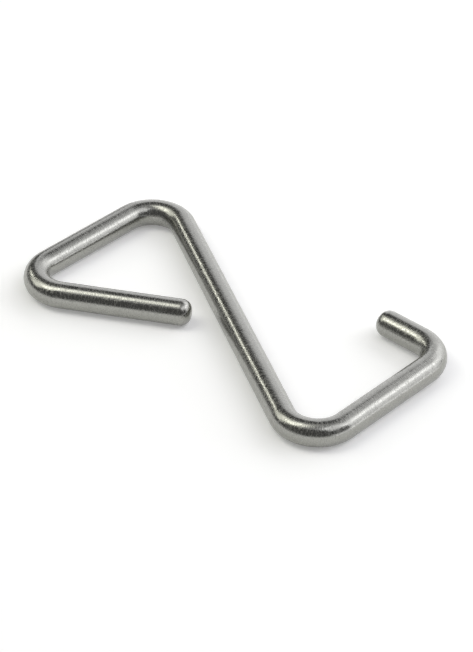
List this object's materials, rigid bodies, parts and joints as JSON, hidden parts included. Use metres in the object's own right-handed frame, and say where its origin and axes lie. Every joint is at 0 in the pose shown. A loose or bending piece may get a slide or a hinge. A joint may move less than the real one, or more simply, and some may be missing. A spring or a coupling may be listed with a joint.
{
  "type": "z hook",
  "caption": "Flat Z-shaped hook bent from round stainless rod, with a triangular strap loop at one end and an open hook with a short lip at the other.",
  "frame": {"origin": "middle of the strap bar, on its centre line; the whole centre line lies in the plane Z = 0", "axes": "+X runs along the strap bar and the foot bar, +Y points from the open hook to the strap bar along the hook's length, and +Z is square to the plane of the hook"},
  "size_m": [0.0488, 0.0931, 0.006],
  "materials": {
    "rod": "drawn stainless steel rod, bent cold and tumbled bright"
  },
  "bodies": {
    "root": {"hook": "rod"}
  },
  "joints": []
}
